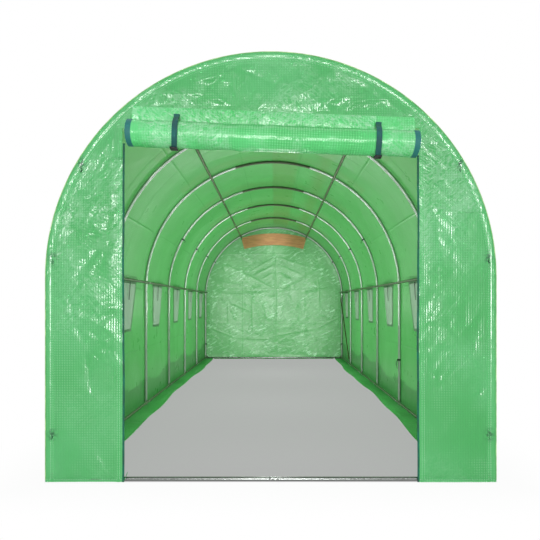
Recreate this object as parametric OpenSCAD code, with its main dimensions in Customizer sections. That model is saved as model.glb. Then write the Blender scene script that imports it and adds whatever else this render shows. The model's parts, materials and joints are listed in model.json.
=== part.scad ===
// Walk-in polytunnel greenhouse: galvanised hoops and rails under a cover of reinforced film.
// X runs across the tunnel, Y along it with the doorway at the low end, and Z up from the ground.

/* [Overall] */
// Width over the cover at the walls
tunnel_w = 2100; // [1700:10:3000]
// Height over the cover at the ridge
tunnel_h = 2000; // [1800:10:2600]
// Length over the two end panels
tunnel_l = 6000; // [4000:50:9000]
// Bays between the hoops
bay_count = 6; // [3:1:8]

/* [Frame tubes] */
// Outside diameter of the hoop tubes
hoop_d = 22; // [18:1:32]
// Outside diameter of the rail, purlin and sill tubes
rail_d = 19; // [14:1:28]
// Outside diameter of the corner brace
brace_d = 16; // [10:1:20]
// Wall thickness of every tube
tube_wall = 1.2; // [0.8:0.1:2]
// Length of a reduced tube end inside the next tube
swage_l = 45; // [25:1:80]
// Length of the taper above a reduced end
neck_l = 8; // [4:1:15]
// Straight length at the foot of a hoop's shoulder tube
tangent_l = 30; // [20:1:60]
// Half the angle of a hoop's crown tube, in degrees
crown_a = 17; // [10:1:25]
// Angle of the roof purlins from the ridge, in degrees
purlin_a = 29; // [20:1:45]
// Height of the side rails above the spring of the arch
side_rail_rise = 50; // [0:1:150]
// Tubes in each long rail
rail_tubes = 3; // [2:1:5]
// Length of the flattened ends of the brace
brace_tab_l = 40; // [25:1:60]
// Thickness of the flattened ends of the brace
brace_tab_t = 3; // [2:0.5:5]
// Diameter of the bolt holes in the flattened ends
bolt_d = 6; // [4:0.5:8]
// Free height between the brace and the rails above and below it
brace_clear = 14; // [8:1:40]

/* [Cover] */
// Thickness of the cover film and its hems
film_t = 2; // [1:0.5:4]
// Width of the ground flaps inside the walls
flap_w = 140; // [60:5:250]
// Width of the ground flap inside the rear panel
rear_flap_w = 90; // [40:5:200]

/* [Doorway] */
// Width of the doorway between the front panels
door_w = 1375; // [900:5:1500]
// Drop of the doorway's head below the ridge
door_drop = 360; // [300:5:600]
// Width of the binding tape along each jamb
binding_w = 10; // [6:1:30]
// Thickness of the binding tape, front to back
binding_t = 5; // [3:0.5:10]

/* [Rolled door] */
// Diameter of the rolled door curtain
roll_d = 128; // [100:1:200]
// Diameter of the hollow in the middle of the roll
roll_core_d = 36; // [20:1:60]
// Whole turns of film in the roll
roll_turns = 5; // [3:1:7]
// Distance of the roll's left end inside the left jamb
roll_left_in = 45; // [0:1:80]
// Distance of the roll's right end inside the right jamb
roll_right_in = 26; // [0:1:80]
// Drop of the roll's axis below the doorway's head, at its middle
roll_drop = 66; // [20:1:250]
// Slope of the roll, lower on the right, in degrees
roll_tilt = 2.3; // [0:0.1:4]
// Height of the curtain's head between the roll and its seam, from the axis
head_h = 140; // [60:1:180]
// Width of the straps round the roll
strap_w = 25; // [15:1:50]
// Thickness of the straps
strap_t = 2; // [1:0.5:4]
// Distance of the left strap's middle from the roll's left end
left_strap_in = 219; // [60:1:400]
// Distance of the right strap's middle from the roll's right end
right_strap_in = 182; // [60:1:400]
// Height of the strap's sewn tab above the roll's axis
strap_tab_h = 110; // [80:1:200]
// Angle left open in a strap where the curtain's head passes, in degrees
strap_open_a = 35; // [28:1:60]

/* [Side windows] */
// Length of each window along its top edge
window_top_l = 370; // [200:5:500]
// Length of each window along its bottom edge
window_bottom_l = 225; // [150:5:500]
// Height of each window
window_h = 335; // [200:5:450]
// Distance from the side rail's centre down to the window's top edge
window_drop = 22; // [15:1:60]
// Thickness of the window netting
net_t = 1; // [0.5:0.5:2]
// Sewn lap of the netting round the window
net_lap = 18; // [10:1:40]
// Diameter of a rolled window flap
window_roll_d = 38; // [25:1:60]
// Diameter of the hollow in a rolled window flap
window_core_d = 10; // [6:1:16]
// Whole turns of film in a rolled window flap
window_turns = 2; // [1:1:3]
// Length of a rolled flap past each end of its window
window_roll_past = 30; // [10:5:80]

/* [Sign board] */
// Height of the board, along its curved ends
sign_h = 175; // [100:5:250]
// Rise of the board's arched edges over its length
sign_rise = 68; // [20:2:120]
// Thickness of the board
sign_t = 8; // [4:1:20]
// Distance of the board in front of the rear hoop
sign_gap = 40; // [25:5:200]
// Width of the ties that hold the board
tie_w = 14; // [8:1:20]
// Thickness of the ties
tie_t = 1.5; // [1:0.5:3]
// Length of a tie down the face of the board
tie_drop = 32; // [20:1:60]

/* [Hidden] */
$fn = 96;
// Facets of the large arcs, and of the round of a bent tube
arc_fn = 240;
bent_tube_fn = 48;
// Room left between a round piece and its seat
seat = 0.3;
// How far every cut runs past the faces it cuts
overrun = 5;
// Points in one turn of a rolled film
turn_points = 20;

hoop_count = bay_count + 1;
wall_x = tunnel_w / 2;
spring_z = tunnel_h - wall_x;

// The rolled door stands out from the front, so the tunnel is set back to keep the origin central
roll_reach = roll_d + 2 * strap_t + 3 * seat;
front_y = roll_reach / 2 - tunnel_l / 2;
rear_y = front_y + tunnel_l;
cover_front_y = front_y + film_t;
cover_rear_y = rear_y - film_t;
cover_l = cover_rear_y - cover_front_y;

hoop_r = wall_x - film_t - seat - hoop_d / 2;
first_hoop_y = cover_front_y + seat + hoop_d / 2;
last_hoop_y = cover_rear_y - seat - hoop_d / 2;
bay_l = (last_hoop_y - first_hoop_y) / bay_count;

// Rails, purlins and the brace are bolted to the inner side of the hoops
hoop_inner_r = hoop_r - hoop_d / 2 - seat;
rail_r = hoop_inner_r - rail_d / 2;
side_rail_z = spring_z + side_rail_rise;
side_rail_x = sqrt(rail_r * rail_r - side_rail_rise * side_rail_rise);
purlin_x = rail_r * sin(purlin_a);
purlin_z = spring_z + rail_r * cos(purlin_a);
sill_z = film_t + seat + rail_d / 2;
ground_rail_z = sill_z + seat + rail_d;
rail_l = last_hoop_y - first_hoop_y + hoop_d;
rail_start_y = first_hoop_y - hoop_d / 2;

door_h = tunnel_h - door_drop;
roll_y = front_y - 2 * seat - strap_t - roll_d / 2;
roll_z = door_h - roll_drop;
roll_l = door_w - roll_left_in - roll_right_in;
roll_x = (roll_left_in - roll_right_in) / 2;
left_strap_x = left_strap_in - roll_l / 2;
right_strap_x = roll_l / 2 - right_strap_in;
window_top_z = side_rail_z - window_drop;
window_roll_r = wall_x + seat + window_roll_d / 2;
window_roll_x = sqrt(window_roll_r * window_roll_r - side_rail_rise * side_rail_rise);

brace_low_z = ground_rail_z + rail_d / 2 + brace_clear + brace_d / 2;
brace_high_z = min(spring_z, side_rail_z - rail_d / 2) - brace_clear - brace_d / 2;

sign_y = last_hoop_y - hoop_d / 2 - sign_gap - sign_t;
tie_ring_r = rail_d / 2 + seat + tie_t;
sign_top_z = purlin_z - tie_ring_r - seat;
sign_edge_r = (purlin_x * purlin_x + sign_rise * sign_rise) / (2 * sign_rise);

film_green = [0.41, 0.75, 0.49];
flap_green = [0.26, 0.57, 0.30];
net_green = [0.62, 0.74, 0.62];
tape_teal = [0.17, 0.46, 0.41];
tube_grey = [0.72, 0.74, 0.74];
board_tan = [0.74, 0.52, 0.34];

function hoop_y(k) = first_hoop_y + (k - 1) * bay_l;
function hoop_name(k) = k == 1 ? "front_hoop" : k == hoop_count ? "rear_hoop" : str("hoop_", k);
function bore_r(d) = d / 2 - tube_wall;
function swage_r(d) = bore_r(d) - seat;
function swage_bore_r(d) = swage_r(d) - tube_wall;
function arc_a(l) = l / hoop_r * 180 / PI;

// Shared shapes

// The piece on the right, or its mirror image on the left
module side(right) {
    if (right) children();
    else mirror([1, 0, 0]) children();
}

// An outline drawn in X and Z, as a plate that runs from one Y to another
module along_y(y0, y1) {
    translate([0, y1, 0]) rotate([90, 0, 0]) linear_extrude(y1 - y0) children();
}

// The tunnel's cross-section, drawn in by an inset and run down past the ground by a foot
module arch_outline(inset, foot) {
    translate([inset - wall_x, -foot]) square([2 * (wall_x - inset), spring_z + foot]);
    intersection() {
        translate([0, spring_z]) circle(r = wall_x - inset, $fn = arc_fn);
        translate([-wall_x, spring_z]) square([tunnel_w, tunnel_w]);
    }
}

// A skin that follows the cross-section, from one inset to the next
module arch_skin(inset, t) {
    difference() {
        arch_outline(inset, 0);
        arch_outline(inset + t, overrun);
    }
}

// The wedge over the crown of the roof, between the purlins
module crown_wedge() {
    reach = tunnel_w;
    translate([0, spring_z])
        polygon([[0, 0], [reach * tan(purlin_a), reach], [-reach * tan(purlin_a), reach]]);
}

// A straight tube from the origin up Z, with a tapered and reduced upper end where it enters the next
module straight_tube(l, d, swaged) {
    body = [[bore_r(d), 0], [d / 2, 0]];
    plain_end = [[d / 2, l], [bore_r(d), l]];
    swaged_end = [
        [d / 2, l - neck_l], [swage_r(d), l], [swage_r(d), l + swage_l],
        [swage_bore_r(d), l + swage_l], [swage_bore_r(d), l], [bore_r(d), l - neck_l]
    ];
    rotate_extrude() polygon(concat(body, swaged ? swaged_end : plain_end));
}

// A run of equal tubes along Z, each entering the next
module tube_run(l, d, tubes) {
    step = l / tubes;
    for (i = [0:tubes - 1])
        translate([0, 0, i * step]) straight_tube(step - seat, d, i < tubes - 1);
}

// Part of a hoop's arc, as a tube between two angles above the right-hand spring line
module bent_tube(a0, a1, r_out, r_in) {
    translate([0, 0, spring_z]) rotate([90, 0, 0]) rotate([0, 0, a0])
        rotate_extrude(angle = a1 - a0, $fn = arc_fn) translate([hoop_r, 0]) difference() {
            circle(r = r_out, $fn = bent_tube_fn);
            circle(r = r_in, $fn = bent_tube_fn);
        }
}

// A long rail that runs the length of the frame at a place in the cross-section
module long_rail(x, z) {
    color(tube_grey) translate([x, rail_start_y, z]) rotate([-90, 0, 0]) tube_run(rail_l, rail_d, rail_tubes);
}

// The edge of a rolled film: a spiral of whole turns that ends going up at +X, with a straight head above it
module rolled_film(core_r, out_r, turns, t, head) {
    steps = turns * turn_points;
    mid_r = [for (i = [0:steps]) core_r + t / 2 + (out_r - t - core_r) * i / steps];
    turn_a = [for (i = [0:steps]) 360 * i / turn_points];
    outer = [for (i = [0:steps]) (mid_r[i] + t / 2) * [cos(turn_a[i]), sin(turn_a[i])]];
    inner = [for (i = [steps:-1:0]) (mid_r[i] - t / 2) * [cos(turn_a[i]), sin(turn_a[i])]];
    polygon(concat(outer, [[out_r, head], [out_r - t, head]], inner));
}

// One window's outline in Y and Z, with its far edge sloping, grown by a lap all round
module window_outline(lap) {
    low_z = window_top_z - window_h;
    slope = (window_top_l - window_bottom_l) / window_h;
    near_y = -window_top_l / 2 - lap;
    polygon([
        [near_y, low_z - lap], [near_y, window_top_z + lap],
        [window_top_l / 2 + lap * (1 + slope), window_top_z + lap],
        [window_bottom_l - window_top_l / 2 + lap * (1 - slope), low_z - lap]
    ]);
}

// The room of every window on the right-hand wall, as blocks that pass through the wall
module window_blocks(lap) {
    depth = wall_x / 2;
    for (k = [1:bay_count])
        translate([wall_x - depth, hoop_y(k) + bay_l / 2, 0])
            rotate([90, 0, 90]) linear_extrude(depth + overrun) window_outline(lap);
}

// Frame

// A hoop's curved part: a shoulder on each side that enters the leg below it, and a crown tube
// that a sleeve inside the tubes joins to each shoulder
module hoop_arch(k) {
    crown_start = 90 - crown_a;
    color(tube_grey) translate([0, hoop_y(k), 0]) {
        for (right = [true, false]) side(right) {
            bent_tube(0, crown_start, hoop_d / 2, bore_r(hoop_d));
            translate([hoop_r, 0, spring_z]) rotate([180, 0, 0]) straight_tube(tangent_l, hoop_d, true);
            bent_tube(
                crown_start - arc_a(swage_l), crown_start + arc_a(swage_l),
                swage_r(hoop_d), swage_bore_r(hoop_d)
            );
        }
        bent_tube(crown_start + arc_a(seat), 90 + crown_a - arc_a(seat), hoop_d / 2, bore_r(hoop_d));
    }
}

// A hoop's two legs, which stand on the ground flaps
module hoop_legs(k) {
    for (right = [true, false]) side(right)
        color(tube_grey) translate([hoop_r, hoop_y(k), film_t])
            straight_tube(spring_z - tangent_l - seat - film_t, hoop_d, false);
}

// A tube across the ground between the legs of an end hoop, cut to fit round them, in two lengths
module sill(k) {
    color(tube_grey) difference() {
        translate([-hoop_r, hoop_y(k), sill_z]) rotate([0, 90, 0]) tube_run(2 * hoop_r, rail_d, 2);
        for (right = [true, false]) side(right)
            translate([hoop_r, hoop_y(k), sill_z - rail_d])
                cylinder(r = hoop_d / 2 + seat, h = 2 * rail_d);
    }
}

module front_sill() { sill(1); }
module rear_sill() { sill(hoop_count); }

module ground_rail(right) { side(right) long_rail(rail_r, ground_rail_z); }
module side_rail(right) { side(right) long_rail(side_rail_x, side_rail_z); }
module roof_purlin(right) { side(right) long_rail(purlin_x, purlin_z); }

// The brace in the last bay of the right-hand wall, with flattened and drilled ends on the legs
module rear_corner_brace() {
    rise = brace_high_z - brace_low_z;
    l = norm([bay_l, rise]);
    flat_x = brace_d / 2 - brace_tab_t;
    color(tube_grey)
        translate([hoop_inner_r - brace_d / 2, hoop_y(bay_count), brace_low_z])
        rotate([-atan2(bay_l, rise), 0, 0]) {
            translate([0, 0, brace_tab_l]) straight_tube(l - 2 * brace_tab_l, brace_d, false);
            for (end = [0, 1]) translate([flat_x, 0, end * l]) mirror([0, 0, end]) difference() {
                union() {
                    rotate([0, 90, 0]) cylinder(d = brace_d, h = brace_tab_t);
                    translate([0, -brace_d / 2, 0]) cube([brace_tab_t, brace_d, brace_tab_l]);
                }
                translate([-overrun, 0, 0]) rotate([0, 90, 0]) cylinder(d = bolt_d, h = brace_tab_t + 2 * overrun);
            }
        }
}

// Cover

// One front panel beside the doorway
module front_side_panel(right) {
    color(film_green) side(right) along_y(front_y, cover_front_y) intersection() {
        arch_outline(0, 0);
        translate([door_w / 2, 0]) square([wall_x, tunnel_h]);
    }
}

// The front panel over the doorway
module front_gable_panel() {
    color(film_green) along_y(front_y, cover_front_y) intersection() {
        arch_outline(0, 0);
        translate([-door_w / 2, door_h]) square([door_w, tunnel_h]);
    }
}

module rear_panel() {
    color(film_green) along_y(cover_rear_y, rear_y) arch_outline(0, 0);
}

// A wall of the cover, from the ground to the side rail, with its windows cut through
module wall_cover(right) {
    color(film_green) side(right) difference() {
        along_y(cover_front_y, cover_rear_y) intersection() {
            arch_skin(0, film_t);
            square([tunnel_w, side_rail_z]);
        }
        window_blocks(0);
    }
}

// The curve of the roof from the side rail up to the purlin
module haunch_cover(right) {
    color(film_green) side(right) along_y(cover_front_y, cover_rear_y) difference() {
        intersection() {
            arch_skin(0, film_t);
            translate([0, side_rail_z]) square([tunnel_w, tunnel_h]);
        }
        crown_wedge();
    }
}

// The top of the roof between the purlins
module crown_cover() {
    color(film_green) along_y(cover_front_y, cover_rear_y) intersection() {
        arch_skin(0, film_t);
        crown_wedge();
    }
}

// The netting sewn behind the windows of one wall
module window_nets(right) {
    color(net_green) side(right) intersection() {
        along_y(cover_front_y, cover_rear_y) arch_skin(film_t + seat, net_t);
        window_blocks(net_lap);
    }
}

// The window flaps of one wall, rolled up on the outside over the windows
module window_rolls(right) {
    l = window_top_l + 2 * window_roll_past;
    color(film_green) side(right) for (k = [1:bay_count])
        translate([window_roll_x, hoop_y(k) + (bay_l + l) / 2, side_rail_z])
            rotate([90, 0, 0]) linear_extrude(l) rotate(180)
                rolled_film(window_core_d / 2, window_roll_d / 2, window_turns, film_t, 0);
}

// The foot of a wall, turned in flat on the ground under the frame
module ground_flap(right) {
    color(flap_green) side(right)
        translate([wall_x - film_t - flap_w, cover_front_y, 0]) cube([flap_w, cover_l, film_t]);
}

module rear_ground_flap() {
    inner_x = wall_x - film_t - flap_w;
    color(flap_green) translate([-inner_x, cover_rear_y - rear_flap_w, 0])
        cube([2 * inner_x, rear_flap_w, film_t]);
}

// Doorway

// The sloping line of the rolled door: X along the roll, from the middle of its axis
module on_roll() {
    translate([roll_x, roll_y, roll_z]) rotate([0, roll_tilt, 0]) children();
}

// The door curtain rolled up over the doorway, with its head running up to the gable
module door_roll() {
    color(film_green) on_roll() translate([-roll_l / 2, 0, 0]) rotate([90, 0, 90])
        linear_extrude(roll_l) rolled_film(roll_core_d / 2, roll_d / 2, roll_turns, film_t, head_h);
}

// The two straps, each sewn to the gable behind the curtain's head and brought under and over the roll
module door_roll_straps() {
    inner_r = roll_d / 2 + seat;
    color(tape_teal) on_roll() for (x = [left_strap_x, right_strap_x])
        translate([x - strap_w / 2, 0, 0]) rotate([90, 0, 90]) linear_extrude(strap_w) {
            difference() {
                circle(r = inner_r + strap_t);
                circle(r = inner_r);
                polygon([[0, 0], [roll_d, 0], [roll_d, roll_d * tan(strap_open_a)]]);
            }
            translate([inner_r, -strap_t / 2]) square([strap_t, strap_tab_h + strap_t / 2]);
        }
}

// The binding tape on one jamb of the doorway
module door_binding(right) {
    color(tape_teal) side(right)
        translate([door_w / 2 - binding_w, cover_front_y - binding_t, 0]) cube([binding_w, binding_t, door_h]);
}

// Sign

// The bare arched board at the far end, its ends cut square to its curve
module sign_board() {
    end_a = asin(purlin_x / sign_edge_r);
    reach = 2 * sign_edge_r;
    color(board_tan) along_y(sign_y, sign_y + sign_t)
        translate([0, sign_top_z - sign_edge_r * cos(end_a)]) intersection() {
            difference() {
                circle(r = sign_edge_r, $fn = arc_fn);
                circle(r = sign_edge_r - sign_h, $fn = arc_fn);
            }
            polygon([[0, 0], [reach * sin(end_a), reach * cos(end_a)], [-reach * sin(end_a), reach * cos(end_a)]]);
        }
}

// The two ties that hang the board from the purlins, each a loop with a tail down the board's face
module sign_ties() {
    tail_x = purlin_x - tie_w;
    color(tape_teal) for (right = [true, false]) side(right) {
        translate([purlin_x, sign_y - tie_t, purlin_z]) rotate([-90, 0, 0]) difference() {
            cylinder(r = tie_ring_r, h = tie_w);
            translate([0, 0, -overrun]) cylinder(r = tie_ring_r - tie_t, h = tie_w + 2 * overrun);
        }
        translate([tail_x, sign_y - tie_t, sign_top_z - tie_drop])
            cube([tie_w, tie_t, tie_drop + seat + tie_t]);
    }
}

front_side_panel(false);  // front_left_panel
front_side_panel(true);  // front_right_panel
front_gable_panel();
rear_panel();
wall_cover(false);  // left_wall_cover
wall_cover(true);  // right_wall_cover
haunch_cover(false);  // left_haunch_cover
haunch_cover(true);  // right_haunch_cover
crown_cover();
window_nets(false);  // left_window_nets
window_nets(true);  // right_window_nets
window_rolls(false);  // left_window_rolls
window_rolls(true);  // right_window_rolls
ground_flap(false);  // left_ground_flap
ground_flap(true);  // right_ground_flap
rear_ground_flap();
door_roll();
door_roll_straps();
door_binding(false);  // left_door_binding
door_binding(true);  // right_door_binding
roof_purlin(false);  // left_roof_purlin
roof_purlin(true);  // right_roof_purlin
side_rail(false);  // left_side_rail
side_rail(true);  // right_side_rail
ground_rail(false);  // left_ground_rail
ground_rail(true);  // right_ground_rail
front_sill();
rear_sill();
rear_corner_brace();
sign_board();
sign_ties();
for (k = [1:hoop_count]) hoop_arch(k);
for (k = [1:hoop_count]) hoop_legs(k);
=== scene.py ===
"""Looks of the walk-in polytunnel: crinkled woven film, nets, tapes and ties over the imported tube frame."""

import json
import math

import bmesh
import bpy
import numpy as np
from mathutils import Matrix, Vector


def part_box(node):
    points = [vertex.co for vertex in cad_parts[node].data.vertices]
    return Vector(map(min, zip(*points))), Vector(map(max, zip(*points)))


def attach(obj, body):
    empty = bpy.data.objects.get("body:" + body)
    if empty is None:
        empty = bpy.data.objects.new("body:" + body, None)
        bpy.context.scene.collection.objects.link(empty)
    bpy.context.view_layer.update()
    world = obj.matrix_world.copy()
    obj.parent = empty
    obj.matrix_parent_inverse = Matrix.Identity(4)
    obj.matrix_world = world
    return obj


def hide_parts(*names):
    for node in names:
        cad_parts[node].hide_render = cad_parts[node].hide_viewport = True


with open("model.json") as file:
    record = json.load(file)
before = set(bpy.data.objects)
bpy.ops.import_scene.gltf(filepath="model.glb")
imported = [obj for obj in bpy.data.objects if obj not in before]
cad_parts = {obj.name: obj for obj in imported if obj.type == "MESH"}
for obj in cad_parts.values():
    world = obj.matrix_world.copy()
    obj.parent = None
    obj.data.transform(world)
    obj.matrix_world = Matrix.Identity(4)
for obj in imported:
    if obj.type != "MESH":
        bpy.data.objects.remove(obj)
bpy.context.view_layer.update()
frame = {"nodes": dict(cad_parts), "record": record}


# Places read from the frame, in metres

HOOPS = ["front_hoop", "hoop_2", "hoop_3", "hoop_4", "hoop_5", "hoop_6", "rear_hoop"]
SIDES = ((-1, "left"), (1, "right"))


def middle(node):
    """The middle of a node's box."""
    low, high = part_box(node)
    return (np.array(low) + np.array(high)) / 2


tunnel_way = (0.0, 1.0, 0.0)
wall_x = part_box("right_wall_cover")[1].x
ridge_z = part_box("crown_cover")[1].z
spring_z = ridge_z - wall_x
front_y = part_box("front_gable_panel")[0].y
rear_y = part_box("rear_panel")[1].y
cover_y = (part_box("crown_cover")[0].y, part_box("crown_cover")[1].y)
film_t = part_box("front_left_panel")[1].y - front_y
hoop_y = np.array([middle(hoop + "_legs")[1] for hoop in HOOPS])
hoop_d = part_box("front_hoop_legs")[1].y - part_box("front_hoop_legs")[0].y
hoop_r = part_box("front_hoop_legs")[1].x - hoop_d / 2
bay = hoop_y[1] - hoop_y[0]
bay_middles = hoop_y[:-1] + bay / 2
door_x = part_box("front_gable_panel")[1].x
door_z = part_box("front_gable_panel")[0].z
rail_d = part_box("right_side_rail")[1].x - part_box("right_side_rail")[0].x

film_r = wall_x - film_t / 2
arc_l = math.pi * film_r
arch_l = 2 * spring_z + arc_l

net_lap = 0.018
window_low_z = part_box("left_window_nets")[0].z + net_lap
window_top_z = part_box("left_window_nets")[1].z - net_lap
window_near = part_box("left_window_nets")[0].y + net_lap - (hoop_y[0] + bay / 2)
window_far_top = -window_near
window_far_low = 0.040
window_slant = window_far_top - window_far_low
window_h = window_top_z - window_low_z


# Meshes from arrays

def stacked(*parts):
    """Arrays, spread to one shape, as the parts of points along a last axis."""
    return np.stack(np.broadcast_arrays(*parts), axis=-1)


def run_length(first, second):
    """The length along a flat path at each of its points."""
    return np.concatenate([[0], np.cumsum(np.hypot(np.diff(first), np.diff(second)))])


def grid_faces(rows, columns, wrap=False, loop=False):
    """Quads between neighbouring points of a grid; its last column may join its first, and its last row its first."""
    index = np.arange(rows * columns).reshape(rows, columns)
    if loop:
        index = np.concatenate([index, index[:1]])
    if wrap:
        index = np.concatenate([index, index[:, :1]], axis=1)
    return stacked(index[:-1, :-1], index[1:, :-1], index[1:, 1:], index[:-1, 1:]).reshape(-1, 4)


def joined(shapes):
    """Several (points, faces) shapes as one, the faces' numbers moved on by the points before them."""
    points, faces, start = [], [], 0
    for shape_points, shape_faces in shapes:
        points.append(np.reshape(shape_points, (-1, 3)))
        faces += [(np.array(face) + start).tolist() for face in shape_faces]
        start += len(points[-1])
    return np.concatenate(points), faces


def piece(name, shape, finish, nodes=(), uv=None, marks=None, closed=False):
    """A mesh object at the origin that rides on the frame; uv and marks have one value for each point."""
    points, faces = np.reshape(shape[0], (-1, 3)), shape[1]
    faces = faces.tolist() if isinstance(faces, np.ndarray) else faces
    mesh = bpy.data.meshes.new(name)
    mesh.from_pydata(points.tolist(), [], faces)
    if closed:
        solid = bmesh.new()
        solid.from_mesh(mesh)
        bmesh.ops.recalc_face_normals(solid, faces=solid.faces)
        solid.to_mesh(mesh)
        solid.free()
    corner = np.empty(len(mesh.loops), int)
    mesh.loops.foreach_get("vertex_index", corner)
    if uv is not None:
        flat = np.reshape(uv, (-1, 2))[corner]
        mesh.uv_layers.new(name="flat").data.foreach_set("uv", flat.ravel())
    for mark, values in (marks or {}).items():
        layer = mesh.attributes.new(mark, "FLOAT", "POINT")
        layer.data.foreach_set("value", np.ravel(values).astype(np.float32))
    mesh.shade_smooth()
    mesh.materials.append(finish)
    made = bpy.data.objects.new(name, mesh)
    bpy.context.scene.collection.objects.link(made)
    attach(made, "root")
    if nodes:
        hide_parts(*nodes)
    return made


def sweep(path, across, profile, loop=False):
    """A closed profile carried along a path: point = path + across * p0 + (across x tangent) * p1."""
    path = np.asarray(path, float)
    across = np.broadcast_to(np.asarray(across, float), path.shape)
    if loop:
        tangent = np.roll(path, -1, axis=0) - np.roll(path, 1, axis=0)
    else:
        tangent = np.gradient(path, axis=0)
    normal = np.cross(across, tangent)
    normal /= np.linalg.norm(normal, axis=1, keepdims=True)
    points = path[:, None] + profile[None, :, :1] * across[:, None] + profile[None, :, 1:] * normal[:, None]
    rows, columns = points.shape[:2]
    faces = grid_faces(rows, columns, wrap=True, loop=loop).tolist()
    ends = [] if loop else [list(range(columns)), list(range((rows - 1) * columns, rows * columns))]
    return points, faces + ends


def tape_profile(width, thick):
    """A flat tape's cross-section: a rectangle with its corners cut at a third of the thickness."""
    w, t = width / 2, thick / 2
    c = thick / 3
    right = [(w - c, -t), (w, -t + c), (w, t - c), (w - c, t)]
    return np.array(right + [(-x, -y) for x, y in right])


def round_profile(diameter, sides):
    """A round cross-section."""
    turn = np.linspace(0, 2 * np.pi, sides, endpoint=False)
    return stacked(np.cos(turn), np.sin(turn)) * diameter / 2


def turned(profile, foot, axis, sides=12):
    """A profile of (radius, height) pairs turned round an axis that starts at foot; its two ends are on the axis."""
    axis = np.asarray(axis, float) / np.linalg.norm(axis)
    side = np.cross(axis, (0.3, 0.9, 0.1))
    side /= np.linalg.norm(side)
    other = np.cross(axis, side)
    turn = np.linspace(0, 2 * np.pi, sides, endpoint=False)[:, None]
    ring = np.cos(turn) * side + np.sin(turn) * other
    radius, height = np.array(profile)[1:-1].T
    body = foot + radius[:, None, None] * ring[None] + height[:, None, None] * axis
    tips = foot + np.array([profile[0][1], profile[-1][1]])[:, None] * axis
    points = np.concatenate([body.reshape(-1, 3), tips])
    rows, order = len(radius), np.arange(sides)
    following = np.roll(order, -1)
    foot_tip, last = rows * sides, (rows - 1) * sides
    fans = [stacked(foot_tip, order, following), stacked(foot_tip + 1, last + following, last + order)]
    return points, grid_faces(rows, sides, wrap=True).tolist() + np.concatenate(fans).tolist()


# The film's own shape

def smooth(value):
    """A step from 0 to 1 with level ends: 3t^2 - 2t^3."""
    t = np.clip(value, 0, 1)
    return t * t * (3 - 2 * t)


def by_line(a, b, start, end):
    """Lengths along and across a straight line, from its middle, at flat coordinates a and b, and half its length."""
    run = np.subtract(end, start)
    half = np.hypot(*run) / 2
    along_a, along_b = run / (2 * half)
    from_a, from_b = a - (start[0] + end[0]) / 2, b - (start[1] + end[1]) / 2
    return from_a * along_a + from_b * along_b, from_b * along_a - from_a * along_b, half


def fold(a, b, start, end, wide, depth):
    """One ridge over flat coordinates a and b, from start to end: it falls off as exp(-|across| / wide) beside
    its line and fades as (1 - t^2)^2 towards its ends."""
    along, across, half = by_line(a, b, start, end)
    fade = 1 - np.clip(np.abs(along) / half, 0, 1) ** 2
    return depth * np.exp(-np.abs(across) / wide) * fade**2


def band(a, b, start, end, wide):
    """1 along a straight line from start to end, falling off beside it as exp(-(across / wide)^2)."""
    along, across, half = by_line(a, b, start, end)
    return np.exp(-((across / wide) ** 2)) * smooth((half - np.abs(along)) / 0.08)


def creases(a, b, seed, count, area, length, width, depth, lean=None):
    """A sum of folds at seeded random places of an area; lean gives the mean turn of their lines and its spread."""
    draw = np.random.default_rng(seed)
    height = np.zeros(np.broadcast(a, b).shape)
    for _ in range(count):
        centre = np.array([draw.uniform(*area[0]), draw.uniform(*area[1])])
        turn = draw.uniform(0, np.pi) if lean is None else draw.normal(*lean)
        half = draw.uniform(*length) / 2 * np.array([np.cos(turn), np.sin(turn)])
        height += fold(a, b, centre - half, centre + half, draw.uniform(*width), draw.uniform(-1, 1) * depth)
    return height


def arch(s):
    """The arch at a length s from its left foot: up the wall, round the half circle and down the other wall.
    Gives x, z and the outward normal's x, z."""
    turn = np.pi - np.clip((s - spring_z) / film_r, 0, np.pi)
    normal_x, normal_z = np.cos(turn), np.sin(turn)
    below = np.clip(spring_z - s, 0, None) + np.clip(s - spring_z - arc_l, 0, None)
    return film_r * normal_x, spring_z + film_r * normal_z - below, normal_x, normal_z


cover_sag = 0.011
wall_sag = 0.004
crease_depth = 0.0045


def film_bulge(s, y):
    """How far the cover stands out of its arch: hung between hoops as sin^2 of the bay, plus creases."""
    _, z, _, normal_z = arch(s)
    depth = wall_sag * smooth(z / 0.3) + (cover_sag - wall_sag) * np.abs(normal_z)
    hung = np.sin(np.pi * (y - hoop_y[0]) / bay) ** 2
    area = ((0, arch_l), cover_y)
    long_folds = creases(s, y, 11, 70, area, (0.5, 1.5), (0.04, 0.08), crease_depth)
    short_folds = creases(s, y, 12, 150, area, (0.2, 0.6), (0.03, 0.05), crease_depth)
    return -depth * hung + (long_folds + short_folds) * (0.25 + 0.75 * hung)


def on_cover(s, y, out=0.0):
    """Points on the cover at arch length s and place y, moved outwards by out."""
    x, z, normal_x, normal_z = arch(s)
    stand = film_bulge(s, y) + out
    return stacked(x + normal_x * stand, y, z + normal_z * stand)


# Shader maths

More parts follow.
